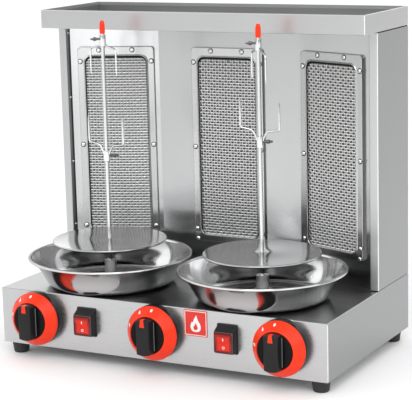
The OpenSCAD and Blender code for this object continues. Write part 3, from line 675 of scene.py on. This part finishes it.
def pressed_frames():
    """Pressed frames with a raised lip round the opening, and inside each a black strip of painted shadow
    where the lip shades the screen.
    """
    outer = (143 * MM, 358 * MM)
    shift = 2 * MM  # the frame stands this much higher than its opening
    flat = FRAME_FACE
    stations = [  # 0 at the opening and 1 at the frame's edge, mm from the wall, corner radius
        (0, 5.0, 12), (0.01, 6.3, 12), (0.03, 6.9, 12.2), (0.06, 7.1, 12.5), (0.10, 6.9, 13),
        (0.14, 6.3, 13.5), (0.18, 5.7, 14), (0.22, flat, 13.5), (0.25, flat, 13), (0.91, flat, 7),
        (0.94, flat, 7), (0.98, 5.2, 6), (1, 4.2, 6), (1, 0.1, 6), (0.97, 0.1, 6), (0.95, 4.2, 6.5),
        (0.90, 4.4, 7), (0.19, 4.4, 13), (0.12, 5.0, 12), (0.06, 5.2, 12), (0.05, 1.0, 11.8), (0, 1.0, 11.8)]
    # black strip of painted shadow: mm inside the opening at the sides and at the top, mm from the wall
    shadow_strip = ((-0.4, -0.4, 4.4), (-0.4, -0.4, 5.0), (1.1, 3.3, 5.0), (1.1, 3.3, 4.4))
    inset_foot = 0.4
    for name, i in BURNERS.items():
        loops = []
        for k, h, r in stations:
            w = WINDOW[0] + (outer[0] - WINDOW[0]) * k
            tall = WINDOW[1] + (outer[1] - WINDOW[1]) * k
            up = shift * max(0, (k - 0.3) / 0.7)
            loops.append([(x, -h * MM, z + up) for x, z in rounded(w, tall, r * MM, 8)])
        piece("pressed_frame_" + name, [moved(stack(loops, True), burner_place(i))], "casing", mat_frame,
              ["burner_frames"] if i == 0 else [], 40)
        loops = []
        for inset_x, inset_top, h in shadow_strip:
            tall = WINDOW[1] - (inset_top + inset_foot) * MM
            outline = rounded(WINDOW[0] - 2 * inset_x * MM, tall, 11 * MM, 8)
            loops.append([(x, -h * MM, z + (inset_foot - inset_top) / 2 * MM) for x, z in outline])
        piece("screen_shadow_strip_" + name, [moved(stack(loops, True), burner_place(i))], "casing", mat_shadow_strip,
              [], 40)


def screw_head():
    """Domed head with a cross recess, about Z, its seat at 0."""
    profile = [(0, -1), (2, -1), (2, 0), (4, 0), (4, 0.4), (3.8, 1.2), (3.2, 1.8), (2.2, 2.25), (1.1, 2.4),
               (0, 2.4)]
    arm, thin, floor_z, top_z = 2.3 * MM, 0.4 * MM, 1.2 * MM, 4 * MM
    cross = [(thin, arm), (-thin, arm), (-thin, thin), (-arm, thin), (-arm, -thin), (-thin, -thin),
             (-thin, -arm), (thin, -arm), (thin, -thin), (arm, -thin), (arm, thin), (thin, thin)]
    small = [(x * 0.5, y * 0.5) if max(abs(x), abs(y)) > thin else (x, y) for x, y in cross]
    recess = stack([[(x, y, floor_z) for x, y in small], [(x, y, top_z) for x, y in cross]])
    return carve(lathe(mm(profile), 24), [recess])


def screws():
    """Screws of the burner frames, each on a dark ring, and of the rear panel."""
    head = screw_head()
    dark_ring = lathe(mm([(3.4, -0.3), (4.9, -0.3), (4.9, 0.5), (3.4, 0.9)]), 24)
    parts, under = [], []
    spots = [(s * 31, 175) for s in (-1, 1)]  # on a frame, mm from the middle of its opening
    spots += [(s * 66.5, z) for s in (-1, 1) for z in (154, -1, -154)]
    spots += [(s * 65, -172.5) for s in (-1, 1)]
    for i in BURNERS.values():
        for n, (x, z) in enumerate(spots):
            turn = Matrix.Rotation(n * 1.3 + i, 4, "Z")
            seat = burner_place(i) @ at(x * MM, -FRAME_FACE * MM, z * MM) @ OUTWARD
            parts.append(moved(head, seat @ turn))
            under.append(moved(dark_ring, seat))
    back, screw_x = high("rear_panel").y, 307 * MM
    for s in (-1, 1):
        for n, z in enumerate((20, 180, 340, 500)):
            turn = Matrix.Rotation(n * 0.9 + s, 4, "Z")
            parts.append(moved(head, at(s * screw_x, back, FOOT_Z + z * MM) @ facing((0, 1, 0)) @ turn))
    piece("cross_head_screws", parts, "casing", mat_rod, ["panel_screws"], 30)
    piece("dark_rings_under_heads", under, "casing", mat_dark_ring)


# ---------- controls ----------

# The dial rings' sloping face, mm: its radii and its heights off the panel.
CONE_R, CONE_Z = (34.2, 46.6), (32.4, 18.2)


def flame(width, height):
    """Outline of a plain flame, its foot at the origin."""
    shape = [(0, 0), (0.30, 0.03), (0.47, 0.16), (0.50, 0.33), (0.41, 0.50), (0.26, 0.64), (0.16, 0.80),
             (0.10, 1.0), (-0.02, 0.86), (-0.14, 0.74), (-0.20, 0.62), (-0.24, 0.52), (-0.34, 0.60),
             (-0.44, 0.44), (-0.50, 0.28), (-0.42, 0.11), (-0.24, 0.02)]
    return [(x * width, z * height) for x, z in fillet(shape, 0.08, 2)]


def on_cone(outline, angle, middle_r):
    """Thin shape on the dial ring's sloping face, turned anticlockwise from the top by angle."""
    a = math.radians(90 + angle)
    radial, across = (math.cos(a), math.sin(a)), (math.sin(a), -math.cos(a))
    slope = (CONE_Z[0] - CONE_Z[1]) / (CONE_R[1] - CONE_R[0])
    front, back = [], []
    for x, z in outline:
        px = radial[0] * (middle_r + z) + across[0] * x
        pz = radial[1] * (middle_r + z) + across[1] * x
        r = math.hypot(px, pz)
        y = -CONE_Z[0] + slope * (r - CONE_R[0])
        front.append((px * MM, (y - 0.25) * MM, pz * MM))
        back.append((px * MM, (y + 0.4) * MM, pz * MM))
    return stack([back, front])


def dials():
    """Black bases with sloping red rings, marked with an off dot and a small and a large flame."""
    outer_r, base_z = 47.3, 15
    base_profile = [(9, 0), (outer_r, 0), (outer_r, base_z), (33.2, base_z), (33.2, 3), (9, 3)]
    ring_profile = [(32.2, base_z), (outer_r, base_z), (outer_r, 17), (CONE_R[1], CONE_Z[1]),
                    (CONE_R[0], CONE_Z[0]), (33.2, 33), (32.2, 33)]
    base_part = lathe(mm(fillet(base_profile, 0.5, 2)), 96)
    ring_part = lathe(mm(fillet(ring_profile, 0.5, 3)), 96)
    dot_r = 2.1
    dot = [(dot_r * math.cos(k * math.pi / 12), dot_r * math.sin(k * math.pi / 12)) for k in range(24)]
    small = [(x, z - 3.2) for x, z in flame(4.2, 6.4)]
    large = [(x, z - 4.2) for x, z in flame(5.6, 8.4)]
    bases, rings = [], []
    for name in DIALS:
        c = dial_centre(name)
        place = at(*c)
        bases.append(moved(base_part, place @ OUTWARD))
        rings.append(moved(ring_part, place @ OUTWARD))
        clock = {"left": 0, "middle": -8, "right": 3}[name]
        marks = [on_cone(dot, clock + 2, 42),
                 on_cone(small, clock + 34, 41.5),
                 on_cone(large, clock + 79, 41)]
        piece("dial_marks_" + name, [moved(m, place) for m in marks], "casing", mat_white)
    piece("dial_base_turned", bases, "casing", mat_black, ["dial_bases"])
    piece("dial_ring_turned", rings, "casing", mat_orange, ["dial_rings"])


def grip_outline(half, radius, arc_steps=10):
    """Bar across a disc: straight sides, ends on a circle."""
    a = math.asin(half / radius)
    top = [(radius * math.sin(t), radius * math.cos(t)) for t in
           (a - 2 * a * k / arc_steps for k in range(arc_steps + 1))]
    bottom = [(-x, -z) for x, z in top]
    return top + bottom


def knobs():
    """Discs with a bar grip across each, a pointer over the grip's end and a grey strip along its foot, a
    painted highlight.
    """
    disc = lathe(mm(fillet([(0, 12), (31.5, 12), (31.5, 33), (0, 33)], 0.9, 4)), 96)
    # half width, radius, height off the panel
    levels = [(13.4, 31.6, 32.5), (13.2, 31.6, 33.6), (12.9, 31.6, 35), (12.8, 31.6, 38), (12.6, 31.5, 45),
              (12.4, 31.4, 47.6), (12.1, 31.1, 48.8), (11.6, 30.5, 49.5), (10.9, 29.8, 49.7)]
    grip = stack([layer(mm(grip_outline(w, r)), -y * MM) for w, r, y in levels])
    # half width, place up the grip, height off the panel, and how much the band looks up and out
    route = [(4.4, 18.5, 49.7, 0, 1), (3.2, 29.6, 49.7, 0.1, 1), (3.0, 30.4, 49.5, 0.5, 0.85),
             (2.9, 31.0, 48.8, 0.8, 0.5), (2.8, 31.3, 47.6, 1, 0.1), (2.6, 31.4, 42, 1, 0)]
    bands = []
    for w, z, y, up, out in route:
        z_out, z_in = z + 0.28 * up, z - 0.5 * up
        y_out, y_in = -y - 0.28 * out, -y + 0.5 * out
        bands.append([(-w * MM, y_out * MM, z_out * MM), (w * MM, y_out * MM, z_out * MM),
                      (w * MM, y_in * MM, z_in * MM), (-w * MM, y_in * MM, z_in * MM)])
    pointer = stack(bands)
    # Grey strip at the grip's foot: painted highlight.
    foot = ((13, -32), (14.1, -32), (14.1, -33.4), (13, -34.2))
    edge = stack([mm([(x, y, z) for x, y in foot]) for z in (-25, 25)])
    for name in DIALS:
        place = at(*dial_centre(name))
        body = "knob_" + name
        piece("knob_grip_" + name, [moved(grip, place)], body, mat_black, ["knob_" + name])
        # The disc in the darker black: painted shade.
        piece("knob_disc_" + name, [moved(disc, place @ OUTWARD)], body, mat_disc)
        piece("knob_highlight_" + name, [moved(edge, place)], body, mat_edge_highlight)
        piece("knob_pointer_" + name, [moved(pointer, place)], body, mat_orange)


def rocker_faces():
    """Marks and lit face of a rocker: a bar and a brighter face, painted light, that look along -Y, and a
    ring about Z.
    """
    stroke = fillet([(-0.8, -2.6), (0.8, -2.6), (0.8, 2.6), (-0.8, 2.6)], 0.4, 2)
    bar = prism(mm(stroke), 0.6 * MM, -0.15 * MM)
    circle = lathe(mm([(2.4, -0.6), (2.4, 0.15), (1.5, 0.15), (1.5, -0.6)]), 28)
    lit_face = prism(mm([(-10.8, -7.2), (-10.8, 4.6), (10.8, 4.6), (10.8, -7.2)]), 0.6 * MM, -0.1 * MM)
    return bar, circle, lit_face


def switches():
    """Tall black housings, a dark red lip and a rocker in each, of one red plastic: the lip and the rocker's
    border are darker, painted shade, and its two brighter faces are painted light.
    """
    # width, height, corner radius, distance off the panel, rise of the outline's middle
    housing = [(38, 51, 2.5, 0, 0), (38, 51, 2.5, 1.8, 0), (37.3, 50.3, 2.5, 2.4, 0),
               (36.6, 48, 3, 2.9, -0.3), (36.3, 46.4, 3, 4.2, -0.6), (35.7, 39, 3, 15, -2.6),
               (35.3, 36.2, 3, 16.5, -3.2), (34.6, 35, 2.8, 17, -3.2), (32.8, 33.4, 2.4, 17, -3.2),
               (30.4, 31.4, 2, 16.2, -3.2), (30.2, 31.2, 2, 9, -3.2)]
    # Grey ring round the housing's front: painted highlight.
    edge = [(35.2, 35.9, 3, 16.6, -3.2), (34.9, 35.5, 2.9, 17.1, -3.2), (34.0, 34.6, 2.7, 17.2, -3.2),
            (33.9, 34.5, 2.7, 16.7, -3.2)]
    lip = [(34.2, 33.2, 2.8, 16.6, -3.2), (34, 33, 2.8, 17.6, -3.2), (33, 32, 2.6, 18.1, -3.2),
           (30.8, 31.4, 2.2, 18.1, -3.2), (29.9, 31, 2, 17.4, -3.2), (29.9, 31, 2, 8, -3.2)]

    def loops(levels):
        return [layer([(x * MM, (z + up) * MM) for x, z in rounded(w, h, r, 5)], -y * MM)
                for w, h, r, y, up in levels]

    centre_z = middle("switch_housings").z
    inside = high("switch_housings").y - PANEL_Y
    well = prism(mm(rounded(32.6, 45.6, 1.5)), inside, -1 * MM)
    bar, circle, lit_face = rocker_faces()
    rest_tilt = math.radians(7)
    face_y, face_z, slope = -9.7 * MM, 7.2 * MM, math.atan2(2, 20)  # middle of a rocker's half and its lean
    boxes, lips, edges = [], [], []
    for side in SIDES:
        p = Vector(JOINTS["press_rocker_" + side]["pos_m"])
        place = at(p.x, PANEL_Y, centre_z)
        boxes += [moved(stack(loops(housing)), place), moved(well, place)]
        lips.append(moved(stack(loops(lip), True), place))
        edges.append(moved(stack(loops(edge), True), place))
        body = "rocker_" + side
        # The rocker in the darker red: painted shade.
        soften(body, 0.5 * MM, mat_border)
        hub = at(*p) @ Matrix.Rotation(rest_tilt, 4, "X")
        upper = hub @ at(0, face_y, face_z) @ Matrix.Rotation(slope, 4, "X")
        lower = hub @ at(0, face_y, -face_z) @ Matrix.Rotation(-slope, 4, "X")
        turned = lower @ Matrix.Rotation(math.pi, 4, "Y")
        marks = [moved(bar, upper), moved(circle, lower @ OUTWARD)]
        # The two brighter faces: painted light.
        lit_faces = [moved(lit_face, upper), moved(lit_face, turned)]
        piece("rocker_marks_" + side, marks, body, mat_white)
        piece("rocker_lit_face_" + side, lit_faces, body, mat_red)
    piece("switch_housing_moulded", boxes, "casing", mat_black, ["switch_housings"])
    piece("switch_lip", lips, "casing", mat_lip)
    piece("switch_highlight", edges, "casing", mat_edge_highlight)


def badge():
    """Red plate with a printed border and a plain flame."""
    c = middle("badge_plate")
    w, h = 44, 45
    place = at(c.x, PANEL_Y, c.z)
    plate = prism(mm(rounded(w, h, 2)), 0, -0.8 * MM, 0.2 * MM)
    piece("badge_field", [moved(plate, place)], "casing", mat_badge, ["badge_plate"])
    outer, inner = rounded(w - 3, h - 3, 1.5), rounded(w - 5.4, h - 5.4, 1)
    levels = [(outer, 0.5), (outer, 0.95), (inner, 0.95), (inner, 0.5)]
    line = stack([layer(mm(outline), -y * MM) for outline, y in levels], True)
    mark = prism([(x * MM, (z - 15) * MM) for x, z in flame(20, 30)], -0.5 * MM, -0.95 * MM)
    core = prism([(x * MM, (z - 11.5) * MM) for x, z in flame(8, 13)], -0.6 * MM, -1.1 * MM)
    piece("badge_print", [moved(line, place), moved(mark, place)], "casing", mat_white)
    piece("badge_core", [moved(core, place)], "casing", mat_badge)


# ---------- spits ----------

def bezier(a, b, c, d, t):
    """Point at t of the curve from a to d."""
    return tuple((1 - t) ** 3 * p + 3 * t * (1 - t) ** 2 * q + 3 * t * t * (1 - t) * r + t ** 3 * s
                 for p, q, r, s in zip(a, b, c, d))


def drip_pans():
    """Pans spun from 1 mm sheet, with a rolled rim and a socket in the middle."""
    rim_r, rim_z, bead = 143.5, 51.0, 2.6
    bore_r, socket_r, socket_z = 19.5, 20.5, 15
    steps = 40
    curve = [bezier((94, 0), (122, 0), (112, 22), (142.5, 51), k / steps) for k in range(steps + 1)]
    inner = []
    for i, p in enumerate(curve):
        a, b = curve[max(i - 1, 0)], curve[min(i + 1, steps)]
        dx, dz = b[0] - a[0], b[1] - a[1]
        n = math.hypot(dx, dz)
        inner.append((p[0] - dz / n, p[1] + dx / n))
    roll = [(rim_r + bead * math.cos(t), rim_z + bead * math.sin(t)) for t in
            (math.radians(-110 + 290 * k / 20) for k in range(21))]
    socket = [(60, 1), (socket_r, 1), (socket_r, socket_z), (bore_r, socket_z), (bore_r, 7)]
    outline = [(bore_r, 0)] + curve[:-1] + roll + inner[:-1][::-1] + fillet(socket, 0.4, 2, False)
    pan = lathe(mm(outline), 160)
    for side in SIDES:
        c = spit_axis(side)
        piece("drip_pan_spun_" + side, [moved(pan, at(c.x, c.y, low("drip_pan_" + side).z))], "pan_" + side,
              mat_polish, ["drip_pan_" + side], 50)


def spits():
    """Rods with their meat plates and red caps."""
    r = 101.5
    plate_profile = [(3.3, 0), (r - 1.2, 0), (r, 1.2), (r, 2.8), (r - 1.2, 4), (3.3, 4)]
    cap_profile = [(3.2, 0), (4.2, 0), (4.7, 2), (4.7, 14), (3.9, 20), (2.6, 23), (0, 23), (0, 17), (3.2, 17)]
    plate = lathe(mm(fillet(plate_profile, 0.5, 3)), 160)
    cap = lathe(mm(fillet(cap_profile, 0.8, 4)), 40)
    for side in SIDES:
        c = spit_axis(side)
        body = "spit_" + side
        piece("meat_plate_turned_" + side, [moved(plate, at(c.x, c.y, low("meat_plate_" + side).z))], body,
              mat_plate, ["meat_plate_" + side])
        piece("spit_cap_moulded_" + side, [moved(cap, at(c.x, c.y, low("spit_cap_" + side).z))], body,
              mat_orange, ["spit_cap_" + side], 50)
        soften("spit_rod_" + side, 0, mat_rod)


# Degrees that a fork's prongs are turned about the rod, and how much lower its first prong sits, mm.
PRONG_TURN = {"upper_left": -17, "upper_right": -44, "lower_left": 5, "lower_right": 15}
FORK_LEAN = {"upper_left": 0, "upper_right": 0, "lower_left": 2.2, "lower_right": 3}


def forks():
    """Forks of one bent wire on each side of a collar. The upper ones point down and the lower ones up."""
    collar = lathe(mm(fillet([(3.32, 0), (5.75, 0), (5.75, 20), (3.32, 20)], 0.6, 3)), 40)
    collar_z = 20 * MM
    wire_r, tip_r = 1.65 * MM, 0.35 * MM
    reach = 33
    upper = [(4.6, 5), (9, 1), (31, -4), (reach, -9), (reach, -44)]
    lower = [(4.6, 11), (8.5, 22), (13.5, 29), (reach, 32), (reach, 74)]
    for name in FORKS:
        c = spit_axis(name.split("_")[1])
        up = name.startswith("lower")
        foot = low("fork_" + name).z if up else high("fork_" + name).z - collar_z
        tip = 81 if up else -51
        parts = [moved(collar, at(c.x, c.y, foot))]
        for half_turn in (0, 180):
            a = math.radians(PRONG_TURN[name] + half_turn)
            lean = FORK_LEAN[name] * (-1 if half_turn else 1) / reach
            flat = fillet([(x, 0, z - lean * x) for x, z in (lower if up else upper)], 3.5, 6, False)
            radii = [wire_r] * len(flat) + [tip_r]
            flat = flat + [Vector((reach, 0, tip - lean * reach))]
            path = [(c.x + p.x * math.cos(a) * MM, c.y + p.x * math.sin(a) * MM, foot + p.z * MM)
                    for p in flat]
            parts.append(tube(path, radii, 14))
        piece("fork_bent_" + name, parts, "fork_" + name, mat_fork, ["fork_" + name], 50)


def thumbscrews():
    """Screws through the collars, with two round wings each."""
    shank_profile = [(0, 0.4), (1.6, 0.4), (2, 0.8), (2, 7), (3.3, 8.2), (3.3, 12.4), (2.4, 13.4), (0, 13.4)]
    lobe_profile = [(0, -1), (3.4, -1), (4.2, -0.4), (4.2, 0.4), (3.4, 1), (0, 1)]
    shank = lathe(mm(fillet(shank_profile, 0.5, 3)), 28)
    lobe = lathe(mm(fillet(lobe_profile, 0.5, 3)), 28)
    rod_r, wing_x, wing_z = 3.25 * MM, 4.4 * MM, 14 * MM
    for name in FORKS:
        joint = JOINTS["screw_" + name]
        place = at(*joint["pos_m"]) @ facing(joint["axis"]) @ at(0, 0, rod_r)
        parts = [moved(shank, place)]
        for s in (-1, 1):
            wing = at(s * wing_x, 0, wing_z) @ Matrix.Rotation(math.radians(90), 4, "X")
            parts.append(moved(lobe, place @ wing))
        piece("thumbscrew_winged_" + name, parts, "screw_" + name, mat_screw,
              ["thumbscrew_" + name])


base()
cabinet_sides()
tray()
bend_highlights()
rivets()
rubber_feet()
woven_screens()
pressed_frames()
screws()
dials()
knobs()
switches()
badge()
drip_pans()
spits()
forks()
thumbscrews()


# ---------- camera, floor and light ----------

def camera():
    """The photograph's viewpoint."""
    yaw, pitch, roll = math.radians(27.91), math.radians(11.19), math.radians(-1.44)
    ahead = Vector((-math.sin(yaw) * math.cos(pitch), math.cos(yaw) * math.cos(pitch), -math.sin(pitch)))
    level = Vector((math.cos(yaw), math.sin(yaw), 0))
    up = level.cross(ahead)
    right = level * math.cos(roll) + up * math.sin(roll)
    top = up * math.cos(roll) - level * math.sin(roll)
    data = bpy.data.cameras.new("camera")
    data.sensor_width = 36
    data.lens = 140.45
    data.clip_end = 100
    made = bpy.data.objects.new("camera", data)
    turn = Matrix((right, top, -ahead)).transposed().to_4x4()
    made.matrix_world = Matrix.Translation((1.3084, PANEL_Y - 2.2799, 0.8185)) @ turn
    bpy.context.scene.collection.objects.link(made)
    bpy.context.scene.camera = made


def card(name, corners, mat):
    """Flat stage object with four corners."""
    mesh = bpy.data.meshes.new(name)
    mesh.from_pydata([tuple(c) for c in corners], [], [[0, 1, 2, 3]])
    mesh.materials.append(mat)
    obj = bpy.data.objects.new(name, mesh)
    bpy.context.scene.collection.objects.link(obj)
    return obj


def floor():
    """Plain pale floor."""
    half = 40
    made, _, _ = start("floor_pale", (0.86, 0.86, 0.86), 0.9)
    card("floor", [(-half, -half, 0), (half, -half, 0), (half, half, 0), (-half, half, 0)], made)


def softbox(name, place, aim, size, power):
    """Square area light."""
    data = bpy.data.lights.new(name, "AREA")
    data.shape = "RECTANGLE"
    data.size = size
    data.size_y = size
    data.energy = power
    obj = bpy.data.objects.new(name, data)
    back = Vector(place) - Vector(aim)
    obj.matrix_world = Matrix.Translation(place) @ facing(back)
    obj.visible_camera = False
    bpy.context.scene.collection.objects.link(obj)


def flag(name, a, b, height, glow=0.0):
    """Upright card that only reflections see, dark or glowing."""
    up = Vector((0, 0, height))
    made, _, _ = start(name, (0.02, 0.02, 0.02), 0.9,
                       **{"Emission Color": (1, 1, 1, 1), "Emission Strength": glow})
    obj = card(name, [Vector(a), Vector(b), Vector(b) + up, Vector(a) + up], made)
    for seen in ("visible_camera", "visible_diffuse", "visible_shadow", "visible_transmission"):
        setattr(obj, seen, False)


def surroundings():
    """White studio, brightest 30 degrees above the horizon and a little brighter from the left."""
    world = bpy.data.worlds.new("studio")
    bpy.context.scene.world = world
    world.use_nodes = True
    tree = world.node_tree
    back = tree.nodes["Background"]
    place = put(tree, "ShaderNodeTexCoord")
    split = put(tree, "ShaderNodeSeparateXYZ")
    ramp = put(tree, "ShaderNodeValToRGB")
    stops = [(0.0, 0.22), (0.12, 0.35), (0.28, 0.9), (0.50, 1.0), (0.65, 0.7), (0.80, 0.42), (1.0, 0.35)]
    ramp.color_ramp.elements[0].position = stops[0][0]
    ramp.color_ramp.elements[1].position = stops[-1][0]
    for where, _ in stops[1:-1]:
        ramp.color_ramp.elements.new(where)
    for element, (_, value) in zip(ramp.color_ramp.elements, stops):
        element.color = (value, value, value, 1)
    tree.links.new(place.outputs["Generated"], split.inputs["Vector"])
    tree.links.new(split.outputs["Z"], ramp.inputs["Fac"])
    tree.links.new(ramp.outputs["Color"], back.inputs["Color"])
    tree.links.new(between(tree, split.outputs["X"], 2.05, 1.85, -0.6, 0.7), back.inputs["Strength"])


bpy.context.scene.view_settings.view_transform = "Standard"
camera()
floor()
surroundings()
flag("flag_right", (1.5, 0.2, 0), (1.5, 1.2, 0), 0.9)
flag("card_left", (0, -3, 0.15), (0.4, -3, 0.15), 0.6, 3.2)
softbox("key", (0.8, -1.9, 1.9), (0.3, -0.6, 0), 1.4, 23)
softbox("fill", (2.6, -1.4, 1.8), (0, 0, 0.3), 1.2, 6)
